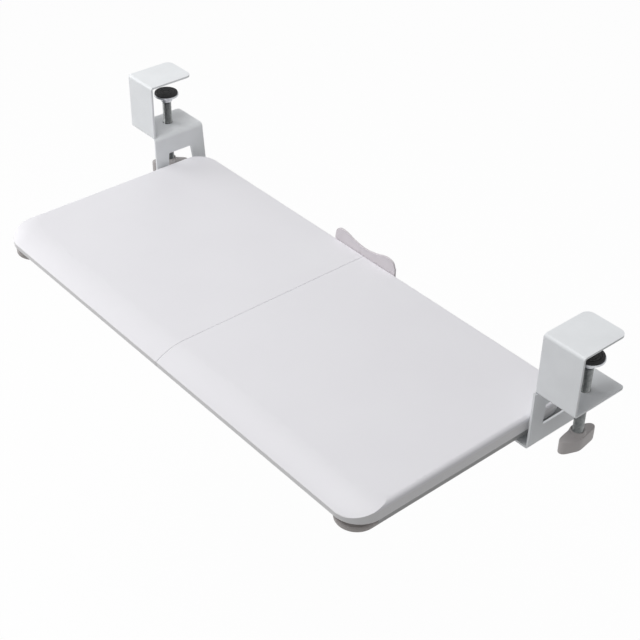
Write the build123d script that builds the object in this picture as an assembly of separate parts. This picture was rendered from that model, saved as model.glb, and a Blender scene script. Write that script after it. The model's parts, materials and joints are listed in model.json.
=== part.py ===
from build123d import *
import os

# Sliding tray hung from two clamps, millimetres.
# Origin: midway between the clamps, at the top front edge of the slab that they grip.
# +X to the right, +Y to the back, +Z up. The tray is drawn pulled out as far as it goes.

# Tray board
board_width = 650.0
board_depth = 300.0
board_thickness = 18.0
board_corner_radius = 31.0
board_side_radius = 5.0
board_back_radius = 2.4
board_bottom_radius = 1.2
front_face_height = 6.5
front_curve_run = 38.0
front_curve_lift = 0.03
front_curve_turn = 34.0
seam_gap = 0.2
seam_edge_chamfer = 0.4
dowel_diameter = 8.0
dowel_length = 30.0
dowel_depth_shares = (0.22, 0.5, 0.78)

# Place of the tray below the origin and how far it reaches behind it
tray_drop = 107.0
tray_overlap = 67.5

# Side brackets, bent from one sheet each
sheet = 2.5
clamp_width = 51.0
side_gap = 7.0
top_flange_depth = 64.0
top_flange_corner = 9.0
clamp_height = 74.5
clamp_bend = 3.5
side_roll = 5.0
side_height = 74.5
side_depth_top = 75.0
side_depth_bottom = 79.8
foot_bend = 4.0
foot_width = 54.0
window_depth_from_flange = 24.3
window_height = 26.2
window_front_top = 20.0
window_front_bottom = 18.6
window_back_top = 55.0
window_back_bottom = 59.0
window_corner = 1.6
plate_corner = 4.0
top_pad_thickness = 1.5
top_pad_margin = 4.0

# Clamp screw, its nut, press plate and knob
screw_diameter = 11.6
screw_from_front = 41.0
screw_from_inner_edge = 28.0
thread_clearance = 0.05
screw_hole_clearance = 0.6
screw_tip_chamfer = 1.0
nut_across_flats = 19.0
nut_height = 10.0
gripped_thickness = 24.0
press_radius = 16.0
press_thickness = 2.5
press_pad_thickness = 2.0
press_pad_margin = 1.0
press_hub_radius = 7.5
press_hub_height = 8.0
ball_radius = 4.7
ball_neck_radius = 3.3
socket_mouth_radius = 4.0
neck_length = 3.0
knob_collar_drop = 50.0
knob_height = 21.0
knob_collar_radius = 7.8
knob_collar_base_radius = 9.6
knob_collar_height = 5.0
knob_bulge_across = 10.5
knob_bulge_along = 4.0
knob_half_length = 24.0
knob_wing_thickness = 9.5
knob_wing_chamfer = 3.0
knob_edge_radius = 1.8
knob_floor = 4.0
right_knob_turn = 4.0
left_knob_turn = 30.0

# Runners under the board and the carriages they slide on
runner_width = 45.0
runner_height = 13.0
runner_sheet = 1.5
runner_bend = 2.2
runner_lip = 7.0
runner_side_inset = 5.0
runner_front_inset = 3.0
runner_back_inset = 3.0
cap_rim_height = 6.4
cap_rim_chamfer = 1.4
cap_neck_inset = 5.0
cap_straight = 8.0
cap_plug_length = 8.0
cap_plug_clearance = 0.2
end_plate = 2.0
bumper_radius = 3.5
bumper_thickness = 1.0
stop_gap = 0.4
carriage_width = 36.0
carriage_length = 50.7
carriage_sheet = 2.5
shoe_width = 7.0
shoe_clearance = 0.3
spacer_radius = 6.0
spacer_edge_distance = 12.0

# Fasteners
bolt_diameter = 5.0
bolt_hole_clearance = 0.1
bolt_head_radius = 4.7
bolt_head_height = 3.0
bolt_nut_flats = 8.0
bolt_nut_height = 2.7
wood_screw_diameter = 4.0
wood_screw_head_radius = 3.8
wood_screw_length = 12.0
runner_screw_shares = (0.1, 0.5, 0.9)

# Plates under the seam and the stop at the back edge
join_plate_length = 110.0
join_plate_width = 26.0
join_plate_sheet = 2.0
join_plate_depth_shares = (0.3, 0.68)
join_screw_shares = (-0.38, -0.16, 0.16, 0.38)
stop_width = 105.0
stop_sheet = 2.5
stop_foot_depth = 38.0
stop_bend = 3.4
stop_hump = 17.2
stop_half_width_shares = (1.0, 0.983, 0.95, 0.876, 0.771, 0.61, 0.42, 0.246)
stop_height_shares = (0.0, 0.465, 0.75, 0.936, 1.0, 0.948, 0.762, 0.651)
stop_dip_share = 0.57
stop_screw_shares = (-0.4, -0.15, 0.15, 0.4)
overrun = 5.0

# Derived places
board_back = tray_overlap
board_front = board_back - board_depth
board_top = -tray_drop
board_bottom = board_top - board_thickness
half_width = board_width / 2
front_drop = board_thickness + front_curve_lift - front_face_height
front_curve_radius = (front_curve_run ** 2 + front_drop ** 2) / (2 * front_drop)
clamp_front = -sheet
clamp_inner_edge = half_width + side_gap
clamp_outer_edge = clamp_inner_edge + clamp_width
clamp_middle = clamp_inner_edge + clamp_width / 2
clamp_top = top_pad_thickness + sheet
flange_bottom = clamp_top - clamp_height
flange_top = flange_bottom + sheet
side_inner_face = clamp_inner_edge - sheet
foot_bottom = flange_bottom - side_height
foot_top = foot_bottom + sheet
foot_inner_edge = clamp_inner_edge - foot_width
screw_x = clamp_inner_edge + screw_from_inner_edge
screw_y = clamp_front + screw_from_front
screw_radius = screw_diameter / 2
press_top = -gripped_thickness
press_plate_top = press_top - press_pad_thickness
press_plate_bottom = press_plate_top - press_thickness
hub_bottom = press_plate_bottom - press_hub_height
ball_centre = press_plate_bottom - ball_radius - thread_clearance
knob_top = flange_bottom - knob_collar_drop
knob_bottom = knob_top - knob_height
screw_bottom = knob_bottom + knob_floor
runner_middle = half_width - runner_side_inset - runner_width / 2
runner_bottom = board_bottom - runner_height
cap_centre = board_front + runner_front_inset + runner_width / 2
runner_start = cap_centre + cap_straight
runner_end = board_back - runner_back_inset - end_plate
cavity_half = runner_width / 2 - runner_sheet
cavity_top = board_bottom - runner_sheet
cavity_bottom = runner_bottom + runner_sheet
carriage_back = runner_end - cap_plug_length - bumper_thickness - stop_gap
carriage_front = carriage_back - carriage_length
carriage_middle_z = (cavity_top + cavity_bottom) / 2
carriage_top = carriage_middle_z + carriage_sheet / 2
carriage_bottom = carriage_middle_z - carriage_sheet / 2
bolt_radius = bolt_diameter / 2
bolt_places = (carriage_front + spacer_edge_distance, carriage_back - spacer_edge_distance)
wood_screw_radius = wood_screw_diameter / 2


def block(x0, x1, y0, y1, z0, z1):
    """A box between two corners."""
    size = Box(x1 - x0, y1 - y0, z1 - z0)
    return Pos((x0 + x1) / 2, (y0 + y1) / 2, (z0 + z1) / 2) * size


def rod(x, y, z0, z1, radius):
    """An upright cylinder."""
    return Pos(x, y, (z0 + z1) / 2) * Cylinder(radius, z1 - z0)


def cone(x, y, z0, z1, radius0, radius1):
    """An upright cone from one radius at z0 to another at z1."""
    return Pos(x, y, (z0 + z1) / 2) * Cone(radius0, radius1, z1 - z0)


def hexagon(x, y, z0, z1, across_flats):
    """An upright hexagonal prism."""
    outline = RegularPolygon(across_flats / 2, 6, major_radius=False)
    return Pos(x, y, z0) * extrude(outline, z1 - z0)


def strip(plane, points, radii, thickness, length):
    """Bent sheet: a rounded centre line of one thickness, pushed along the plane's normal."""
    path = FilletPolyline(*points, radius=radii)
    return extrude(plane * trace(path, thickness), length)


def wood_screw(x, y, seat):
    """Countersunk screw driven up into the board from a plate whose face is at seat."""
    head_height = wood_screw_head_radius - wood_screw_radius
    head = cone(x, y, seat, seat + head_height, wood_screw_head_radius, wood_screw_radius)
    return head + rod(x, y, seat, seat + wood_screw_length, wood_screw_radius)


def on_left(shape):
    """The same piece on the other side of the tray."""
    return mirror(shape, about=Plane.YZ)


def make_front_waste():
    """What is cut off the top so that it curves down to a low front face."""
    crest = board_front + front_curve_run
    crest_height = board_top + front_curve_lift
    reach = front_curve_run + overrun
    low = crest_height - front_curve_radius + (front_curve_radius ** 2 - reach ** 2) ** 0.5
    high = board_top + overrun
    # section across the crest, which stands slightly over the top: x outward from it, y up
    arc = RadiusArc((0, crest_height), (reach, low), front_curve_radius)
    over = Polyline((reach, low), (reach, high), (0, high), (0, crest_height))
    section = make_face(Curve() + [arc, over])
    # at the corners the crest turns until it touches the sides
    turn_x = half_width - front_curve_turn
    turn_y = crest + front_curve_turn
    straight = Plane(origin=(turn_x, crest, 0), x_dir=(0, -1, 0), z_dir=(-1, 0, 0)) * section
    middle = extrude(straight, 2 * turn_x)
    right = revolve(straight, Axis((turn_x, turn_y, 0), (0, 0, 1)), 90)
    return [middle, right, on_left(right)]


def make_board():
    plan = RectangleRounded(board_width, board_depth, board_corner_radius)
    middle = (board_front + board_back) / 2
    slab = Pos(0, middle, board_bottom) * extrude(plan, board_thickness)
    slab = fillet(slab.faces().sort_by(Axis.Z)[-1].edges(), board_back_radius)
    slab = fillet(slab.faces().sort_by(Axis.Z)[0].edges(), board_bottom_radius)
    # the sides and the front corners are rounder than the back
    longer = board_depth + 2 * board_corner_radius
    bar = extrude(RectangleRounded(board_width, longer, board_corner_radius), board_thickness)
    bar = fillet(bar.faces().sort_by(Axis.Z)[-1].edges(), board_side_radius)
    slab &= Pos(0, board_front + longer / 2, board_bottom) * bar
    return slab - make_front_waste()


def make_board_half(board, side):
    """One half of the board, with its seam edge eased and holes for dowels."""
    near = side * seam_gap / 2
    far = side * (half_width + overrun)
    cut = block(min(near, far), max(near, far), board_front - overrun, board_back + overrun,
                board_bottom - overrun, board_top + overrun)
    half = board & cut
    seam = half.faces().sort_by(Axis.X)[0 if side > 0 else -1]
    top_edges = seam.edges().filter_by(lambda edge: edge.center().Z > board_bottom + front_face_height)
    half = chamfer(top_edges, seam_edge_chamfer)
    return half - make_dowels()


def make_dowels():
    """Three pegs across the seam."""
    middle = board_bottom + (front_face_height + board_thickness) / 2 - wood_screw_radius
    pegs = []
    for share in dowel_depth_shares:
        peg = Rot(0, 90, 0) * Cylinder(dowel_diameter / 2, dowel_length)
        pegs.append(Pos(0, board_front + share * board_depth, middle) * peg)
    return Part() + pegs


def runner_screw_places():
    length = runner_end - runner_start
    return [runner_start + share * length for share in runner_screw_shares]


def make_runner_screws():
    return Part() + [wood_screw(runner_middle, y, cavity_top) for y in runner_screw_places()]


def make_runner():
    """C-shaped rail, open below, screwed under the board."""
    inset = runner_sheet / 2
    outer = runner_width / 2 - inset
    low = runner_bottom + inset
    high = board_bottom - inset
    lip_end = runner_width / 2 - runner_lip
    points = [(-lip_end, low), (-outer, low), (-outer, high), (outer, high), (outer, low), (lip_end, low)]
    plane = Plane(origin=(runner_middle, runner_end, 0), x_dir=(1, 0, 0), z_dir=(0, -1, 0))
    rail = strip(plane, points, runner_bend - inset, runner_sheet, runner_end - runner_start)
    return rail - make_runner_screws()


def plug(y0, y1):
    """The part of an end cap that fills the rail's hollow."""
    half = cavity_half - cap_plug_clearance
    low = cavity_bottom + cap_plug_clearance
    high = cavity_top - cap_plug_clearance
    body = block(runner_middle - half, runner_middle + half, y0, y1, low, high)
    return chamfer(body.edges().filter_by(Axis.Y), runner_bend - runner_sheet + cap_plug_clearance)


def nose(radius, z0, z1):
    """A half disc with a straight stretch behind it, longer than the cap."""
    straight = block(runner_middle - radius, runner_middle + radius, cap_centre, cap_centre + radius + overrun, z0, z1)
    return rod(runner_middle, cap_centre, z0, z1, radius) + straight


def make_front_cap():
    """Rounded nose with a low rim and a slimmer neck up to the board."""
    radius = runner_width / 2
    rim_top = runner_bottom + cap_rim_height
    rim = nose(radius, runner_bottom, rim_top)
    rim = chamfer(rim.faces().sort_by(Axis.Z)[-1].edges(), cap_rim_chamfer)
    rim = fillet(rim.faces().sort_by(Axis.Z)[0].edges(), runner_bend)
    neck = nose(radius - cap_neck_inset, rim_top, board_bottom)
    front = block(runner_middle - radius, runner_middle + radius, cap_centre - radius - overrun, runner_start,
                  runner_bottom, board_bottom)
    return ((rim + neck) & front) + plug(runner_start, runner_start + cap_plug_length)


def make_rear_cap():
    """Flat end plate with the stop that the carriage meets."""
    outline = RectangleRounded(runner_width, runner_height, runner_bend)
    plane = Plane(origin=(runner_middle, runner_end, (runner_bottom + board_bottom) / 2),
                  x_dir=(-1, 0, 0), z_dir=(0, 1, 0))
    return extrude(plane * outline, end_plate) + plug(runner_end - cap_plug_length, runner_end)


def make_bumpers():
    """Rubber discs on both stops."""
    disc = Rot(90, 0, 0) * Cylinder(bumper_radius, bumper_thickness)
    front = runner_start + cap_plug_length + bumper_thickness / 2
    back = runner_end - cap_plug_length - bumper_thickness / 2
    return Part() + [Pos(runner_middle, y, carriage_middle_z) * disc for y in (front, back)]


def make_carriage():
    plate = block(runner_middle - carriage_width / 2, runner_middle + carriage_width / 2,
                  carriage_front, carriage_back, carriage_bottom, carriage_top)
    for y in bolt_places:
        plate -= rod(runner_middle, y, carriage_bottom, carriage_top, bolt_radius + bolt_hole_clearance)
    return plate


def make_shoe(side):
    """Nylon slide shoe clipped on one long edge of the carriage plate."""
    outer = side * (cavity_half - shoe_clearance)
    inner = outer - side * shoe_width
    body = block(runner_middle + min(inner, outer), runner_middle + max(inner, outer),
                 carriage_front, carriage_back, cavity_bottom + shoe_clearance, cavity_top - shoe_clearance)
    long_edges = body.edges().filter_by(Axis.Y)
    body = chamfer(long_edges, runner_bend - runner_sheet + shoe_clearance)
    return body - make_carriage()


def make_spacers():
    rings = []
    for y in bolt_places:
        ring = rod(runner_middle, y, foot_top, carriage_bottom, spacer_radius)
        rings.append(ring - rod(runner_middle, y, foot_top, carriage_bottom, bolt_radius + bolt_hole_clearance))
    return Part() + rings


def make_bolts():
    """Pan head bolts up through the foot, spacer and carriage plate."""
    bolts = []
    for y in bolt_places:
        head = rod(runner_middle, y, foot_bottom - bolt_head_height, foot_bottom, bolt_head_radius)
        head = fillet(head.edges().sort_by(Axis.Z)[0], bolt_head_height / 2)
        bolts.append(head + rod(runner_middle, y, foot_bottom, carriage_top + bolt_nut_height, bolt_radius))
    return Part() + bolts


def make_bolt_nuts():
    nuts = []
    for y in bolt_places:
        nut = hexagon(runner_middle, y, carriage_top, carriage_top + bolt_nut_height, bolt_nut_flats)
        nuts.append(nut - make_bolts())
    return Part() + nuts


def make_bracket():
    """Top flange, front plate, screw flange, side plate with a window, and foot, in one bent sheet."""
    inset = sheet / 2
    front = clamp_front + inset
    flange_back = clamp_front + side_depth_top
    clamp_points = [
        (clamp_front + top_flange_depth, clamp_top - inset),
        (front, clamp_top - inset),
        (front, flange_bottom + inset),
        (flange_back, flange_bottom + inset),
    ]
    clamp_plane = Plane(origin=(clamp_inner_edge, 0, 0), x_dir=(0, 1, 0), z_dir=(1, 0, 0))
    bracket = strip(clamp_plane, clamp_points, clamp_bend - inset, sheet, clamp_width)
    back_corners = bracket.edges().filter_by(Axis.Z).filter_by(lambda edge: edge.center().Z > 0)
    bracket = fillet(back_corners.sort_by(Axis.Y)[-2:], top_flange_corner)
    side_points = [
        (clamp_outer_edge, flange_bottom + inset),
        (side_inner_face + inset, flange_bottom + inset),
        (side_inner_face + inset, foot_bottom + inset),
        (foot_inner_edge, foot_bottom + inset),
    ]
    side_back = clamp_front + side_depth_bottom
    side_start = clamp_front + clamp_bend
    side_plane = Plane(origin=(0, side_back, 0), x_dir=(1, 0, 0), z_dir=(0, -1, 0))
    radii = [side_roll - inset, foot_bend - inset]
    side = strip(side_plane, side_points, radii, sheet, side_back - clamp_front)
    # behind the front plate the screw flange rolls into the side plate, under it only the roll goes on
    bracket -= block(clamp_inner_edge - overrun, side_inner_face + side_roll, side_start, flange_back + overrun,
                     flange_bottom - overrun, flange_top + overrun)
    side -= block(clamp_inner_edge, clamp_outer_edge + overrun, clamp_front - overrun, side_start,
                  flange_bottom, clamp_top)
    # the back edge leans outwards towards the foot
    corners = [
        (flange_back, flange_top + overrun),
        (flange_back, flange_bottom - side_roll),
        (side_back, foot_bottom),
        (side_back, foot_bottom - overrun),
        (side_back + overrun, foot_bottom - overrun),
        (side_back + overrun, flange_top + overrun),
    ]
    side -= extrude(Plane.YZ * make_face(Polyline(*corners, close=True)), clamp_outer_edge + overrun)
    bracket += side
    upright = bracket.edges().filter_by(Axis.Z)
    flange_corner = upright.filter_by(lambda edge: flange_bottom < edge.center().Z < flange_top)
    foot_corners = upright.filter_by(lambda edge: foot_bottom < edge.center().Z < foot_top)
    rounded = [flange_corner.sort_by(lambda edge: edge.center().X + edge.center().Y)[-1]]
    rounded += foot_corners.sort_by(Axis.X)[:2]
    bracket = fillet(rounded, plate_corner)
    window_top = flange_bottom - window_depth_from_flange
    window_bottom = window_top - window_height
    window = Polyline(
        (clamp_front + window_front_top, window_top),
        (clamp_front + window_back_top, window_top),
        (clamp_front + window_back_bottom, window_bottom),
        (clamp_front + window_front_bottom, window_bottom),
        close=True,
    )
    opening = make_face(window)
    opening = fillet(opening.vertices(), window_corner)
    bracket -= extrude(Plane.YZ * opening, clamp_outer_edge)
    bracket -= rod(screw_x, screw_y, flange_bottom, flange_top, screw_radius + screw_hole_clearance)
    for y in bolt_places:
        bracket -= rod(runner_middle, y, foot_bottom, foot_top, bolt_radius + bolt_hole_clearance)
    return bracket


def make_top_pad():
    """Thin foam under the top flange."""
    pad = block(clamp_inner_edge + top_pad_margin, clamp_outer_edge - top_pad_margin, top_pad_margin,
                clamp_front + top_flange_depth - top_pad_margin, 0, top_pad_thickness)
    return fillet(pad.edges().filter_by(Axis.Z), top_flange_corner - top_pad_margin)


def make_weld_nut():
    nut = hexagon(screw_x, screw_y, flange_bottom - nut_height, flange_bottom, nut_across_flats)
    return nut - rod(screw_x, screw_y, flange_bottom - nut_height, flange_bottom, screw_radius + thread_clearance)


def make_clamp_screw():
    """Threaded rod with a ball tip; the thread is a plain cylinder."""
    shoulder = hub_bottom - neck_length
    shank = rod(screw_x, screw_y, screw_bottom, shoulder, screw_radius)
    shank = chamfer(shank.edges().filter_by(GeomType.CIRCLE), screw_tip_chamfer)
    neck = rod(screw_x, screw_y, shoulder, ball_centre, ball_neck_radius)
    return shank + neck + Pos(screw_x, screw_y, ball_centre) * Sphere(ball_radius)


def make_press_plate():
    """Round plate with a socket that the ball tip turns in."""
    plate = rod(screw_x, screw_y, press_plate_bottom, press_plate_top, press_radius)
    hub = rod(screw_x, screw_y, hub_bottom, press_plate_bottom, press_hub_radius)
    socket = Pos(screw_x, screw_y, ball_centre) * Sphere(ball_radius + thread_clearance)
    mouth = rod(screw_x, screw_y, hub_bottom, ball_centre, socket_mouth_radius)
    return plate + hub - socket - mouth


def make_press_pad():
    return rod(screw_x, screw_y, press_plate_top, press_top, press_radius - press_pad_margin)


def make_knob(turn):
    """Two-winged knob moulded on the end of the screw, turned from the Y axis towards +X."""
    side = knob_wing_thickness / 2
    tip = side - knob_wing_chamfer
    shoulder = knob_half_length - knob_wing_chamfer
    wing = [(knob_bulge_across, -knob_bulge_along), (side, shoulder), (tip, knob_half_length),
            (-tip, knob_half_length), (-side, shoulder)]
    opposite = [(-x, -y) for x, y in wing]
    wing_height = knob_height - knob_collar_height
    body = extrude(make_face(Polyline(*wing, *opposite, close=True)), wing_height)
    body = fillet(body.edges(), knob_edge_radius)
    collar = cone(0, 0, wing_height - knob_edge_radius, knob_height, knob_collar_base_radius, knob_collar_radius)
    collar = fillet(collar.edges().sort_by(Axis.Z)[-1], knob_edge_radius / 2)
    knob = Pos(screw_x, screw_y, knob_bottom) * (Rot(0, 0, -turn) * (body + collar))
    return knob - make_clamp_screw()


def join_plate_places():
    return [board_front + share * board_depth for share in join_plate_depth_shares]


def make_join_screws():
    screws = []
    for y in join_plate_places():
        for share in join_screw_shares:
            screws.append(wood_screw(share * join_plate_length, y, board_bottom - join_plate_sheet))
    return Part() + screws


def make_join_plate(y):
    half = join_plate_length / 2
    plate = block(-half, half, y - join_plate_width / 2, y + join_plate_width / 2,
                  board_bottom - join_plate_sheet, board_bottom)
    plate = fillet(plate.edges().filter_by(Axis.Z), join_plate_width / 4)
    return plate - make_join_screws()


def make_stop_screws():
    y = board_back - stop_foot_depth / 2
    return Part() + [wood_screw(share * stop_width, y, board_bottom - stop_sheet) for share in stop_screw_shares]


def make_rear_stop():
    """Bent plate under the back edge; its upright has two humps and a dip."""
    inset = stop_sheet / 2
    points = [(board_back - stop_foot_depth, board_bottom - inset), (board_back + inset, board_bottom - inset),
              (board_back + inset, board_top + stop_hump + overrun)]
    plane = Plane(origin=(-stop_width / 2, 0, 0), x_dir=(0, 1, 0), z_dir=(1, 0, 0))
    plate = strip(plane, points, stop_bend - inset, stop_sheet, stop_width)
    half = stop_width / 2
    right = [(half * across, board_top + stop_hump * up)
             for across, up in zip(stop_half_width_shares, stop_height_shares)]
    left = [(-x, z) for x, z in right]
    middle = (0, board_top + stop_hump * stop_dip_share)
    curve = Spline(*left, middle, *reversed(right), tangents=((0, 1), (0, -1)))
    high = board_top + stop_hump + 2 * overrun
    rim = Polyline((half, board_top), (half + overrun, board_top), (half + overrun, high),
                   (-half - overrun, high), (-half - overrun, board_top), (-half, board_top))
    waste = Plane.XZ * make_face(curve + rim)
    plate -= extrude(waste, -(board_back + stop_foot_depth))
    return plate - make_stop_screws()


parts = {}
board = make_board()
seam_screws = make_join_screws() + make_stop_screws()
runner_screws = make_runner_screws()
drilled = board - runner_screws - on_left(runner_screws) - seam_screws
parts["left_board"] = make_board_half(drilled, -1)
parts["right_board"] = make_board_half(drilled, 1)
parts["board_dowels"] = make_dowels()
parts["front_join_plate"] = make_join_plate(join_plate_places()[0])
parts["rear_join_plate"] = make_join_plate(join_plate_places()[1])
parts["join_screws"] = make_join_screws()
parts["rear_stop"] = make_rear_stop()
parts["rear_stop_screws"] = make_stop_screws()

sided = {
    "bracket": make_bracket(),
    "top_pad": make_top_pad(),
    "weld_nut": make_weld_nut(),
    "clamp_screw": make_clamp_screw(),
    "press_plate": make_press_plate(),
    "press_pad": make_press_pad(),
    "runner": make_runner(),
    "runner_screws": runner_screws,
    "front_cap": make_front_cap(),
    "rear_cap": make_rear_cap(),
    "bumpers": make_bumpers(),
    "carriage": make_carriage(),
    "outer_shoe": make_shoe(1),
    "inner_shoe": make_shoe(-1),
    "carriage_spacers": make_spacers(),
    "carriage_bolts": make_bolts(),
    "carriage_nuts": make_bolt_nuts(),
}
for name, shape in sided.items():
    parts["right_" + name] = shape
    parts["left_" + name] = on_left(shape)
parts["right_knob"] = make_knob(right_knob_turn)
parts["left_knob"] = on_left(make_knob(-left_knob_turn))

os.makedirs("parts", exist_ok=True)
for name, shape in parts.items():
    export_step(shape, "parts/" + name + ".step")
    box = shape.bounding_box()
    print(name, len(shape.solids()), round(box.size.X, 1), round(box.size.Y, 1), round(box.size.Z, 1))
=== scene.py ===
import bmesh
import bpy
import json
from math import ceil, cos, hypot, pi, radians, sin, tau
from mathutils import Matrix, Vector


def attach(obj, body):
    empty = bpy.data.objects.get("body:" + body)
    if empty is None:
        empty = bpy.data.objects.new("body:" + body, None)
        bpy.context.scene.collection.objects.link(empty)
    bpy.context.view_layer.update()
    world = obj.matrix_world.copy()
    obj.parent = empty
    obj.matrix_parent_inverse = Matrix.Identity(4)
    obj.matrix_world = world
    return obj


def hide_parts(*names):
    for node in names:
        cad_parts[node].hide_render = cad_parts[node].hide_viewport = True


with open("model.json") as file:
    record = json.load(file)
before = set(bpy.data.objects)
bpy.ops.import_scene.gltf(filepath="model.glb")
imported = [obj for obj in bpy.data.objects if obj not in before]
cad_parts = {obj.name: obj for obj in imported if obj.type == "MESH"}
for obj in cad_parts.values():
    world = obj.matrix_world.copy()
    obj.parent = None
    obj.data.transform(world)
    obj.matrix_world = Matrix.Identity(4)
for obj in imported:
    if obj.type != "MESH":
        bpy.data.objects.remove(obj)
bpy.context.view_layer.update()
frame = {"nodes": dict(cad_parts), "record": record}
record = frame["record"]
bodyOf = {node: body for body, nodes in record["behaviour"]["bodies"].items() for node in nodes}
slotOf = {part["node"]: part["material_slot"] for part in record["subparts"]}
mm = 0.001
sides = {"left": -1, "right": 1}

# camera, light and floor
view = {
    "place": (0.96821, -0.83664, 0.77187),
    "right": (0.64575431, 0.76341470, 0.01411977),
    "down": (0.46011669, -0.37431101, -0.80509869),
    "forward": (-0.60933899, 0.52639269, -0.59297279),
    "lens": 75.097,
    "sensor": 36.0,
}


def placeCamera():
    camera = bpy.data.objects.new("Camera", bpy.data.cameras.new("Camera"))
    camera.data.lens = view["lens"]
    camera.data.sensor_width = view["sensor"]
    axes = (Vector(view["right"]), -Vector(view["down"]), -Vector(view["forward"]))
    turn = Matrix(axes).transposed().to_4x4()
    camera.matrix_world = Matrix.Translation(view["place"]) @ turn
    bpy.context.scene.collection.objects.link(camera)
    bpy.context.scene.camera = camera


class Value:
    # a socket that takes part in sums; each sum adds its Math node
    def __init__(self, finish, socket):
        self.finish = finish
        self.socket = socket

    def joined(self, operation, first, second):
        node = self.finish.node("ShaderNodeMath", {"operation": operation}, {0: first, 1: second})
        return self.finish.value(node)

    def __add__(self, other):
        return self.joined("ADD", self, other)

    def __radd__(self, other):
        return self.joined("ADD", other, self)

    def __sub__(self, other):
        return self.joined("SUBTRACT", self, other)

    def __mul__(self, other):
        return self.joined("MULTIPLY", self, other)

    def __rmul__(self, other):
        return self.joined("MULTIPLY", other, self)


class Finish:
    # one material and the nodes in it
    def __init__(self, name, tree=None):
        if tree is None:
            self.material = bpy.data.materials.new(name)
            self.material.use_nodes = True
            tree = self.material.node_tree
        self.tree = tree
        self.tree.nodes.clear()

    def node(self, kind, settings=None, sockets=None):
        made = self.tree.nodes.new(kind)
        for key, setting in (settings or {}).items():
            setattr(made, key, setting)
        for key, given in (sockets or {}).items():
            if isinstance(given, Value):
                self.tree.links.new(given.socket, made.inputs[key])
            else:
                made.inputs[key].default_value = given
        return made

    def value(self, node, output=0):
        return Value(self, node.outputs[output])

    def place(self, scale=(1, 1, 1)):
        coords = self.value(self.node("ShaderNodeTexCoord"), "Object")
        return self.value(self.node("ShaderNodeMapping", {}, {"Vector": coords, "Scale": scale}))

    def noise(self, size, detail, rough=0.5, stretch=(1, 1, 1)):
        sockets = {"Vector": self.place(stretch), "Scale": 1 / size, "Detail": detail, "Roughness": rough}
        return self.value(self.node("ShaderNodeTexNoise", {}, sockets), "Fac")

    def ramp(self, factor, low, high, start=0.0, end=1.0):
        sockets = {"Value": factor, "From Min": low, "From Max": high, "To Min": start, "To Max": end}
        return self.value(self.node("ShaderNodeMapRange", {"clamp": True}, sockets))

    def mix(self, factor, first, second):
        settings = {"data_type": "RGBA", "blend_type": "MIX"}
        made = self.node("ShaderNodeMix", settings, {0: factor, 6: first, 7: second})
        return self.value(made, 2)

    def bump(self, height, depth, strength):
        sockets = {"Height": height, "Distance": depth, "Strength": strength}
        return self.value(self.node("ShaderNodeBump", {}, sockets))

    def shader(self, **sockets):
        named = {key.replace("_", " "): given for key, given in sockets.items()}
        surface = self.value(self.node("ShaderNodeBsdfPrincipled", {}, named))
        self.node("ShaderNodeOutputMaterial", {}, {"Surface": surface})
        return self.material


def tone(red, green, blue):
    return (red, green, blue, 1.0)


white = tone(1, 1, 1)
light = {
    "worldStrength": 0.3,
    "aim": (0.0, -0.1, -0.1),
    "lamps": {
        "overhead": {"place": (-0.08, -0.56, 1.64), "size": 1.2, "watts": 19.5},
        "fromLeft": {"place": (-1.59, -0.68, 0.35), "size": 1.0, "watts": 10.9},
    },
    "floorHeight": -0.72,
    "floorSize": 14.0,
    "floorTone": tone(0.9, 0.9, 0.9),
    "floorGlow": 0.97,  # share of plain white that the camera sees; the rest keeps the shadow
}
bpy.context.scene.view_settings.view_transform = "Standard"


def seenDirectly(finish):
    # 1 for rays from the camera and its mirrored or refracted ones, 0 for the light that falls on the object
    path = finish.node("ShaderNodeLightPath")
    rays = [finish.value(path, key) for key in ("Is Camera Ray", "Is Glossy Ray", "Is Transmission Ray")]
    return rays[0] + rays[1] + rays[2]


def lightScene():
    world = bpy.data.worlds.new("Studio")
    world.use_nodes = True
    bpy.context.scene.world = world
    sky = Finish("Studio", world.node_tree)
    strength = light["worldStrength"]
    dim = sky.value(sky.node("ShaderNodeBackground", {}, {"Color": white, "Strength": strength}))
    bright = sky.value(sky.node("ShaderNodeBackground", {}, {"Color": white, "Strength": 1.0}))
    both = sky.value(sky.node("ShaderNodeMixShader", {}, {0: seenDirectly(sky), 1: dim, 2: bright}))
    sky.node("ShaderNodeOutputWorld", {}, {"Surface": both})
    for name, lamp in light["lamps"].items():
        data = bpy.data.lights.new(name, "AREA")
        data.size = lamp["size"]
        data.energy = lamp["watts"]
        made = bpy.data.objects.new(name, data)
        made.location = lamp["place"]
        made.rotation_euler = (Vector(light["aim"]) - made.location).to_track_quat("-Z", "Y").to_euler()
        bpy.context.scene.collection.objects.link(made)
    floor = Finish("Floor")
    matt = floor.value(floor.node("ShaderNodeBsdfDiffuse", {}, {"Color": light["floorTone"]}))
    glow = floor.value(floor.node("ShaderNodeEmission", {}, {"Color": white, "Strength": 1.0}))
    share = seenDirectly(floor) * light["floorGlow"]
    surface = floor.value(floor.node("ShaderNodeMixShader", {}, {0: share, 1: matt, 2: glow}))
    floor.node("ShaderNodeOutputMaterial", {}, {"Surface": surface})
    bm = bmesh.new()
    bmesh.ops.create_grid(bm, x_segments=1, y_segments=1, size=light["floorSize"] / 2)
    bmesh.ops.translate(bm, vec=(0, 0, light["floorHeight"]), verts=bm.verts)
    mesh = bpy.data.meshes.new("Floor")
    bm.to_mesh(mesh)
    bm.free()
    mesh.materials.append(floor.material)
    plane = bpy.data.objects.new("Floor", mesh)
    bpy.context.scene.collection.objects.link(plane)


placeCamera()
lightScene()
print("camera, lamps and floor are set")


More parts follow.
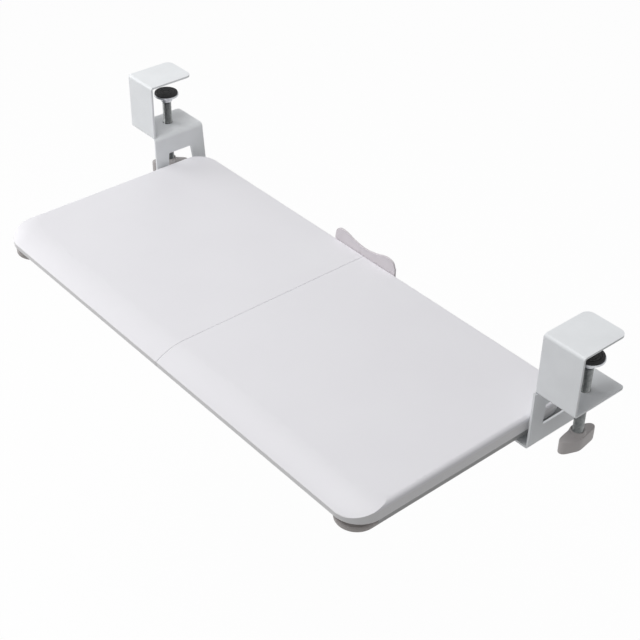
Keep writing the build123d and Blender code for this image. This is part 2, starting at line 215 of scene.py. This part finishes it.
# finishes; a size of a noise is about that of one blotch
foil = {
    # the foil's lower edge: its height at the board's front and from there back over the run to the sides
    "front": -232.5 * mm, "run": 20.0 * mm, "frontEdge": -118.4 * mm, "sideEdge": -112.9 * mm,
    "fade": 0.1 * mm,
    "sheet": (tone(0.8, 0.79, 0.825), tone(0.835, 0.83, 0.86)), "cloud": 90 * mm, "peel": 0.9 * mm,
    "peelDepth": 0.02 * mm, "rubbed": 14 * mm, "rough": 0.4, "cloudRough": 0.08, "rubbedRough": 0.06,
    "band": (tone(0.74, 0.735, 0.745), tone(0.79, 0.785, 0.795)), "grain": 1.5 * mm,
}


def foilFinish():
    # foil wrapped over the top and the rounded sides; under its lower edge the board's own edge shows darker
    size = foil
    made = Finish("boardFoil")
    cloud = made.noise(size["cloud"], 3.0)
    peel = made.noise(size["peel"], 2.0, 0.6)
    rubbed = made.ramp(made.noise(size["rubbed"], 4.0, 0.7, (1, 0.12, 1)), 0.5, 0.75)
    sheet = made.mix(cloud, *size["sheet"])
    grain = made.noise(size["grain"], 3.0, 0.6, (0.15, 0.15, 1))
    band = made.mix(grain, *size["band"])
    split = made.node("ShaderNodeSeparateXYZ", {}, {"Vector": made.place()})
    ends = (size["front"], size["front"] + size["run"])
    lowerEdge = made.ramp(made.value(split, "Y"), *ends, size["frontEdge"], size["sideEdge"])
    above = made.value(split, "Z") - lowerEdge
    covered = made.ramp(above, -size["fade"], size["fade"])
    colour = made.mix(covered, band, sheet)
    rough = size["rough"] + size["cloudRough"] * cloud - size["rubbedRough"] * rubbed
    return made.shader(Base_Color=colour, Roughness=rough, Normal=made.bump(peel, size["peelDepth"], 0.5))


def shaded(colour, share):
    return tone(*(share * part for part in colour[:3]))


coat = {"peel": 0.7 * mm, "cloud": 30 * mm, "dust": 0.95, "rough": 0.42, "peelRough": 0.12}


def coatFinish(name, colour, depth):
    # powder paint, slightly dusty in patches
    made = Finish(name)
    peel = made.noise(coat["peel"], 3.0, 0.6)
    cloud = made.noise(coat["cloud"], 3.0)
    base = made.mix(made.ramp(cloud, 0.35, 0.75), colour, shaded(colour, coat["dust"]))
    rough = coat["rough"] + coat["peelRough"] * peel
    return made.shader(Base_Color=base, Roughness=rough, Normal=made.bump(peel, depth, 0.6))


plate = {"spangle": 3 * mm, "streak": 0.6 * mm, "streakDepth": 0.01 * mm, "spangleRough": 0.16}


def plateFinish(name, bright, dark, rough):
    # plated steel with a spangle, rough where its crystals are dull
    made = Finish(name)
    spangle = made.noise(plate["spangle"], 3.0, 0.6)
    streak = made.noise(plate["streak"], 2.0, 0.6, (1, 1, 0.1))
    base = made.mix(made.ramp(spangle, 0.3, 0.7), dark, bright)
    return made.shader(Base_Color=base, Metallic=1.0, Roughness=rough + plate["spangleRough"] * spangle,
                       Normal=made.bump(streak, plate["streakDepth"], 0.4))


mould = {"grain": 0.45 * mm, "grainDepth": 0.03 * mm, "cloud": 12 * mm, "shade": 0.93, "grainRough": 0.08}


def mouldFinish(name, colour, rough):
    # moulded plastic or rubber with a fine grain
    made = Finish(name)
    grain = made.noise(mould["grain"], 2.0, 0.6)
    cloud = made.noise(mould["cloud"], 2.0)
    base = made.mix(cloud, colour, shaded(colour, mould["shade"]))
    return made.shader(Base_Color=base, Roughness=rough + mould["grainRough"] * grain,
                       Normal=made.bump(grain, mould["grainDepth"], 0.5))


foam = {"cell": 0.5 * mm, "cellDepth": 0.15 * mm, "rough": 0.92,
        "tones": (tone(0.05, 0.05, 0.055), tone(0.11, 0.11, 0.115))}


def foamFinish():
    made = Finish("foam")
    sockets = {"Vector": made.place(), "Scale": 1 / foam["cell"]}
    cell = made.value(made.node("ShaderNodeTexVoronoi", {}, sockets))
    base = made.mix(cell, *foam["tones"])
    return made.shader(Base_Color=base, Roughness=foam["rough"],
                       Normal=made.bump(cell, foam["cellDepth"], 0.8))


beech = {"grain": 1.2 * mm, "grainDepth": 0.05 * mm, "rough": 0.6, "grainRough": 0.1,
         "tones": (tone(0.6, 0.42, 0.26), tone(0.76, 0.6, 0.42))}


def beechFinish():
    made = Finish("beech")
    grain = made.noise(beech["grain"], 4.0, 0.6, (0.08, 1, 1))
    base = made.mix(grain, *beech["tones"])
    return made.shader(Base_Color=base, Roughness=beech["rough"] + beech["grainRough"] * grain,
                       Normal=made.bump(grain, beech["grainDepth"], 0.5))


finishes = {
    "board": foilFinish(),
    "bracket_paint": coatFinish("bracketCoat", tone(0.85, 0.87, 0.89), 0.05 * mm),
    "stop_paint": coatFinish("stopCoat", tone(0.71, 0.67, 0.7), 0.05 * mm),
    # the rails' dark grey is painted shade from under the board; their own paint is lighter
    "runner_paint": coatFinish("runnerPaintedShadeCoat", tone(0.41, 0.41, 0.41), 0.03 * mm),
    # the caps' grey is their own, with a painted warm tint of bounced light in shade
    "cap_plastic": mouldFinish("capPlasticPaintedWarmBounce", tone(0.46, 0.43, 0.42), 0.45),
    # the knobs' grey is painted shade with a painted warm tint of bounced light; the plastic itself is a
    # paler grey
    "knob_plastic": mouldFinish("knobPaintedShadePlastic", tone(0.55, 0.52, 0.515), 0.42),
    "screw_steel": plateFinish("screwSteel", tone(0.34, 0.35, 0.35), tone(0.2, 0.21, 0.21), 0.31),
    "zinc_steel": plateFinish("zincPlate", tone(0.66, 0.67, 0.69), tone(0.46, 0.47, 0.5), 0.29),
    "nylon": mouldFinish("nylon", tone(0.8, 0.8, 0.78), 0.4),
    "rubber": mouldFinish("blackRubber", tone(0.035, 0.035, 0.037), 0.7),
    "foam": foamFinish(),
    "beech": beechFinish(),
}
print("finishes are made:", len(finishes))


# tools for the pieces; angles in degrees
mend = {"merge": 0.002 * mm, "spinMerge": 0.001 * mm, "flat": 0.4, "sharp": 35.0, "eased": 32.0}


def keep(name, bm, nodes, sharp=mend["sharp"], weighted=True):
    # a finished mesh becomes a piece on the body and slot of the first node that it stands for
    bmesh.ops.recalc_face_normals(bm, faces=bm.faces)
    mesh = bpy.data.meshes.new(name)
    bm.to_mesh(mesh)
    bm.free()
    mesh.shade_smooth()
    mesh.set_sharp_from_angle(angle=radians(sharp))
    mesh.materials.append(finishes[slotOf[nodes[0]]])
    piece = bpy.data.objects.new(name, mesh)
    bpy.context.scene.collection.objects.link(piece)
    if weighted:
        even = piece.modifiers.new("even", "WEIGHTED_NORMAL")
        even.keep_sharp = True
    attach(piece, bodyOf[nodes[0]])
    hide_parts(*nodes)
    return piece


def nodeMesh(node):
    bm = bmesh.new()
    bm.from_mesh(frame["nodes"][node].data)
    bmesh.ops.remove_doubles(bm, verts=bm.verts, dist=mend["merge"])
    bmesh.ops.dissolve_limit(bm, angle_limit=radians(mend["flat"]), verts=bm.verts, edges=bm.edges)
    return bm


def easedNode(node, radius, name=None, steps=2):
    # the solid's own shape with its sharp edges rounded
    bm = nodeMesh(node)
    pairs = [edge for edge in bm.edges if len(edge.link_faces) == 2]
    edges = [edge for edge in pairs if edge.calc_face_angle() > radians(mend["eased"])]
    bmesh.ops.bevel(bm, geom=edges, offset=radius, offset_type="OFFSET", affect="EDGES", segments=steps,
                    profile=0.5, material=-1, clamp_overlap=True)
    keep(name or node + "Piece", bm, [node])


def turned(bm, points, steps):
    # a profile of (radius, height) points turned about the upright axis
    corners = [bm.verts.new((radius, 0, height)) for radius, height in points]
    edges = [bm.edges.new(pair) for pair in zip(corners, corners[1:])]
    bmesh.ops.spin(bm, geom=corners + edges, cent=(0, 0, 0), axis=(0, 0, 1), angle=tau, steps=steps,
                   use_merge=True)
    bmesh.ops.remove_doubles(bm, verts=bm.verts, dist=mend["spinMerge"])


# tray
board = {"arris": 0.45 * mm, "steps": 3}
for side in sides:
    easedNode(side + "_board", board["arris"], side + "BoardHalf", board["steps"])
joining = {"plateEdge": 0.3 * mm, "stopEdge": 0.5 * mm}
for node in ("front_join_plate", "rear_join_plate"):
    easedNode(node, joining["plateEdge"])
easedNode("rear_stop", joining["stopEdge"], "rearStopPlate", 3)
print("boards, join plates and rear stop are made")

rail = {"rail": 0.25 * mm, "frontCap": 0.5 * mm, "rearCap": 0.4 * mm, "bumper": 0.2 * mm}
for side in sides:
    easedNode(side + "_runner", rail["rail"], side + "Rail")
    easedNode(side + "_front_cap", rail["frontCap"], side + "RailNose", 3)
    easedNode(side + "_rear_cap", rail["rearCap"], side + "RailEnd")
    easedNode(side + "_bumpers", rail["bumper"], side + "Bumpers")
print("rails and their caps are made")

# screws and bolts
crossScrew = {
    "head": 3.75 * mm, "shank": 2.0 * mm, "cone": 1.75 * mm, "length": 12.0 * mm, "point": 2.5 * mm,
    "slot": 0.5 * mm, "arm": 2.0 * mm, "deep": 1.5 * mm, "floorShare": 0.45, "tipShare": 0.2, "steps": 24,
}
socketBolt = {
    "head": 4.65 * mm, "crown": 3.6 * mm, "high": 3.0 * mm, "shank": 2.45 * mm, "key": 3.0 * mm,
    "deep": 1.7 * mm, "floorShare": 0.96, "bulge": 1.04, "steps": 24,
    # heights of the head's three rings as shares of its height
    "ringShares": (0.25, 0.35, 0.4),
}


def outline(bm, points, height):
    corners = [bm.verts.new((across, along, height)) for across, along in points]
    return [bm.edges.new((corners[i - 1], corners[i])) for i in range(len(corners))]


def around(radius, steps):
    angles = [tau * i / steps for i in range(steps)]
    return [(radius * cos(angle), radius * sin(angle)) for angle in angles]


def cutFiner(bm, edges, cuts):
    made = bmesh.ops.subdivide_edges(bm, edges=edges, cuts=cuts)["geom_split"]
    return [part for part in made if isinstance(part, bmesh.types.BMEdge)]


def fill(bm, edges):
    bmesh.ops.edgeloop_fill(bm, edges=edges)


def drawOut(bm, edges, rise, widen):
    # the loop of edges is extruded, raised and scaled about the origin
    made = bmesh.ops.extrude_edge_only(bm, edges=edges)["geom"]
    loose = [part for part in made if isinstance(part, bmesh.types.BMEdge) and len(part.link_faces) == 1]
    tips = list({corner for edge in loose for corner in edge.verts})
    bmesh.ops.scale(bm, vec=(widen, widen, 1), verts=tips)
    bmesh.ops.translate(bm, vec=(0, 0, rise), verts=tips)
    return loose


def crossHead():
    # a countersunk screw with a cross recess, its head facing down at the origin
    size = crossScrew
    slot, arm = size["slot"], size["arm"]
    cross = []
    for quarter in range(4):
        for x, y in ((arm, -slot), (arm, slot), (slot, slot)):
            turn = quarter * pi / 2
            cross.append((x * cos(turn) - y * sin(turn), x * sin(turn) + y * cos(turn)))
    bm = bmesh.new()
    inner = cutFiner(bm, outline(bm, cross, 0), 1)
    outer = outline(bm, around(size["head"], size["steps"]), 0)
    bmesh.ops.bridge_loops(bm, edges=inner + outer)
    fill(bm, drawOut(bm, inner, size["deep"], size["floorShare"]))
    neck = drawOut(bm, outer, size["cone"], size["shank"] / size["head"])
    tip = drawOut(bm, neck, size["length"] - size["cone"] - size["point"], 1.0)
    fill(bm, drawOut(bm, tip, size["point"], size["tipShare"]))
    return bm


def socketHead(length):
    # a button head with a hexagon socket, facing down at the origin
    size = socketBolt
    bm = bmesh.new()
    socket = cutFiner(bm, outline(bm, around(size["key"] / 2 / cos(pi / 6), 6), 0), 3)
    crown = outline(bm, around(size["crown"], size["steps"]), 0)
    bmesh.ops.bridge_loops(bm, edges=socket + crown)
    fill(bm, drawOut(bm, socket, size["deep"], size["floorShare"]))
    middle = (size["crown"] + size["head"]) / 2 * size["bulge"]
    rim = crown
    for share, widen in zip(size["ringShares"], (middle / size["crown"], size["head"] / middle, 1.0)):
        rim = drawOut(bm, rim, size["high"] * share, widen)
    neck = drawOut(bm, rim, 0.0, size["shank"] / size["head"])
    fill(bm, drawOut(bm, neck, length - size["high"], 1.0))
    return bm


def islands(node):
    # the boxes of a node's separate solids
    bm = nodeMesh(node)
    left = set(bm.verts)
    found = []
    while left:
        batch = [left.pop()]
        low = list(batch[0].co)
        high = list(batch[0].co)
        while batch:
            corner = batch.pop()
            low = [min(a, b) for a, b in zip(low, corner.co)]
            high = [max(a, b) for a, b in zip(high, corner.co)]
            for edge in corner.link_edges:
                other = edge.other_vert(corner)
                if other in left:
                    left.remove(other)
                    batch.append(other)
        found.append((Vector(low), Vector(high)))
    bm.free()
    return sorted(found, key=lambda box: tuple(box[0]))


def screwSet(node, name, pattern):
    # a copy of the pattern stands at the foot of each of the node's solids
    bm = bmesh.new()
    mesh = bpy.data.meshes.new(name + "Pattern")
    pattern.to_mesh(mesh)
    pattern.free()
    for low, high in islands(node):
        start = len(bm.verts)
        bm.from_mesh(mesh)
        bm.verts.ensure_lookup_table()
        place = ((low.x + high.x) / 2, (low.y + high.y) / 2, low.z)
        bmesh.ops.translate(bm, vec=place, verts=bm.verts[start:])
    bpy.data.meshes.remove(mesh)
    keep(name, bm, [node])


def heightOf(node):
    low, high = islands(node)[0]
    return high.z - low.z


screwSet("join_screws", "joinScrews", crossHead())
screwSet("rear_stop_screws", "stopScrews", crossHead())
for side in sides:
    bolts = side + "_carriage_bolts"
    screwSet(side + "_runner_screws", side + "RailScrews", crossHead())
    screwSet(bolts, side + "CarriageBolts", socketHead(heightOf(bolts)))
print("screws and bolts are made")

# clamps
clamp = {"sheetEdge": 0.5 * mm, "foamEdge": 0.3 * mm, "nutEdge": 0.6 * mm, "small": 0.3 * mm}
for side in sides:
    easedNode(side + "_bracket", clamp["sheetEdge"], side + "Bracket", 3)
    easedNode(side + "_top_pad", clamp["foamEdge"], side + "TopPad")
    easedNode(side + "_weld_nut", clamp["nutEdge"], side + "WeldNut")
    easedNode(side + "_press_plate", clamp["small"], side + "PressPlate")
    for part in ("carriage", "outer_shoe", "inner_shoe", "carriage_spacers", "carriage_nuts"):
        easedNode(side + "_" + part, clamp["small"])
print("brackets and carriages are made")

axisAt = {"across": 360.0 * mm, "along": 38.5 * mm}
thread = {
    "outer": 5.8 * mm, "root": 4.85 * mm, "pitch": 1.75 * mm, "steps": 20,
    "crestShare": 0.16, "rootShare": 0.1,
    "bottom": -137.5 * mm, "shoulder": -39.5 * mm, "taper": 1.0 * mm,
    "taperShare": 0.86, "merge": 0.004 * mm,
    "neck": 3.3 * mm, "neckSunk": 1.0 * mm, "ball": 4.7 * mm, "ballCentre": -33.25 * mm, "ballSteps": 24,
    "ballRings": 10, "neckAngle": 0.78,  # from the ball's lowest point to the neck, in radians
}


def threadedScrew(side):
    size = thread
    pitch = size["pitch"]
    flank = (1 - size["crestShare"] - size["rootShare"]) / 2
    shares = (0, flank, flank + size["crestShare"], 1 - size["rootShare"], 1)
    radii = (size["root"], size["outer"], size["outer"], size["root"], size["root"])
    low = size["bottom"] - pitch
    turns = ceil((size["shoulder"] - low) / pitch) + 1
    bm = bmesh.new()
    corners = [bm.verts.new((radius, 0, low + share * pitch)) for radius, share in zip(radii, shares)]
    edges = [bm.edges.new(pair) for pair in zip(corners, corners[1:])]
    bmesh.ops.spin(bm, geom=corners + edges, cent=(0, 0, 0), axis=(0, 0, 1), angle=tau * turns,
                   dvec=(0, 0, pitch / size["steps"]), steps=size["steps"] * turns)
    bmesh.ops.remove_doubles(bm, verts=bm.verts, dist=size["merge"])
    for height, up in ((size["bottom"] + size["taper"], -1), (size["shoulder"], 1)):
        everything = bm.verts[:] + bm.edges[:] + bm.faces[:]
        cut = bmesh.ops.bisect_plane(bm, geom=everything, plane_co=(0, 0, height), plane_no=(0, 0, up),
                                     clear_outer=True)
        rim = [part for part in cut["geom_cut"] if isinstance(part, bmesh.types.BMEdge)]
        if up < 0:
            rim = drawOut(bm, rim, -size["taper"], size["taperShare"])
        fill(bm, rim)
    # neck and ball, their foot sunk into the thread
    ball, foot, last = size["ball"], size["shoulder"] - size["neckSunk"], size["ballRings"]
    lowest = -0.5 * pi + size["neckAngle"]
    points = [(0, foot), (size["neck"], foot), (size["neck"], size["ballCentre"] + ball * sin(lowest))]
    for step in range(last + 1):
        tilt = lowest + (0.5 * pi - lowest) * step / last
        points.append((max(ball * cos(tilt), 0), size["ballCentre"] + ball * sin(tilt)))
    turned(bm, points, size["ballSteps"])
    bmesh.ops.translate(bm, vec=(sides[side] * axisAt["across"], axisAt["along"], 0), verts=bm.verts)
    keep(side + "ThreadedScrew", bm, [side + "_clamp_screw"], 40.0, False)


# in millimetres, apart from the bottom and the turn in degrees
knob = {
    "bottom": -141.5 * mm, "bulgeAcross": 10.5, "bulgeAlong": 4.0, "half": 24.2, "thick": 9.7,
    "nip": 3.0, "turn": {"right": 4.0, "left": 30.0}, "longCuts": 3, "smoothing": 2,
    # how far each ring of the wing lies inside its outline, and its height
    "wingRings": [(1.4, 0.0), (0.3, 0.0), (0.0, 1.0), (0.0, 14.6), (0.3, 16.0), (1.6, 16.0)],
    # radius and height of each ring of the collar, down into its recess
    "collarRings": [(9.4, 16.4), (9.0, 17.6), (8.4, 19.6), (8.1, 20.8), (7.7, 21.0), (6.7, 21.0),
                    (6.35, 20.7), (6.3, 18.4), (6.0, 18.2), (3.0, 18.2)],
}


def wingPoints(size, inset):
    # the wing seen from above, one bulge on each flank, the long flanks cut finer
    half, thick, nip = size["half"], size["thick"] / 2, size["nip"]
    corners = [(size["bulgeAcross"], -size["bulgeAlong"]), (thick, half - nip), (thick - nip, half),
               (nip - thick, half), (-thick, half - nip)]
    corners += [(-x, -y) for x, y in corners]
    points = []
    for i, (x, y) in enumerate(corners):
        nextX, nextY = corners[(i + 1) % len(corners)]
        cuts = size["longCuts"] if hypot(nextX - x, nextY - y) > half / 2 else 1
        points += [(x + (nextX - x) * cut / cuts, y + (nextY - y) * cut / cuts) for cut in range(cuts)]
    shrunk = []
    for x, y in points:
        span = hypot(x, y)
        shrunk.append((x * (1 - inset / span), y * (1 - inset / span)))
    return shrunk


def wingedKnob(side):
    size = knob
    rings = [(wingPoints(size, inset), height) for inset, height in size["wingRings"]]
    steps = len(rings[0][0])
    rings += [(around(radius, steps), height) for radius, height in size["collarRings"]]
    bm = bmesh.new()
    loops = [outline(bm, points, height) for points, height in rings]
    for below, above in zip(loops, loops[1:]):
        bmesh.ops.bridge_loops(bm, edges=below + above)
    fill(bm, loops[0])
    fill(bm, loops[-1])
    bmesh.ops.scale(bm, vec=(mm, mm, mm), verts=bm.verts)
    bmesh.ops.scale(bm, vec=(sides[side], 1, 1), verts=bm.verts)
    turn = Matrix.Rotation(radians(-size["turn"][side]), 3, "Z")
    bmesh.ops.rotate(bm, cent=(0, 0, 0), matrix=turn, verts=bm.verts)
    place = (sides[side] * axisAt["across"], axisAt["along"], size["bottom"])
    bmesh.ops.translate(bm, vec=place, verts=bm.verts)
    piece = keep(side + "WingKnob", bm, [side + "_knob"], 180.0, False)
    smooth = piece.modifiers.new("smooth", "SUBSURF")
    smooth.levels = smooth.render_levels = size["smoothing"]


pressPad = {
    "top": -24.0 * mm, "bottom": -26.0 * mm, "radius": 15.0 * mm, "edge": 0.5 * mm,
    "grooves": (4.0 * mm, 7.5 * mm, 11.0 * mm), "width": 1.0 * mm, "deep": 0.5 * mm, "slope": 0.15 * mm,
    "edgeShare": 0.3, "steps": 48,
}


def ribbedPad(side):
    size = pressPad
    top, bottom, radius, edge = size["top"], size["bottom"], size["radius"], size["edge"]
    floor = top - size["deep"]
    points = [(0, top)]
    for near in size["grooves"]:
        far = near + size["width"]
        points += [(near, top), (near + size["slope"], floor), (far - size["slope"], floor), (far, top)]
    inset = edge * size["edgeShare"]
    points += [(radius - edge, top), (radius - inset, top - inset), (radius, top - edge)]
    points += [(radius, bottom), (0, bottom)]
    bm = bmesh.new()
    turned(bm, points, size["steps"])
    bmesh.ops.translate(bm, vec=(sides[side] * axisAt["across"], axisAt["along"], 0), verts=bm.verts)
    keep(side + "PressPad", bm, [side + "_press_pad"], 30.0, False)


for side in sides:
    threadedScrew(side)
    wingedKnob(side)
    ribbedPad(side)
print("clamp screws, knobs and pads are made")

# what stays as the solids are
for node, thing in frame["nodes"].items():
    if not thing.hide_render:
        thing.data.materials.clear()
        thing.data.materials.append(finishes[slotOf[node]])
        print("kept solid:", node)
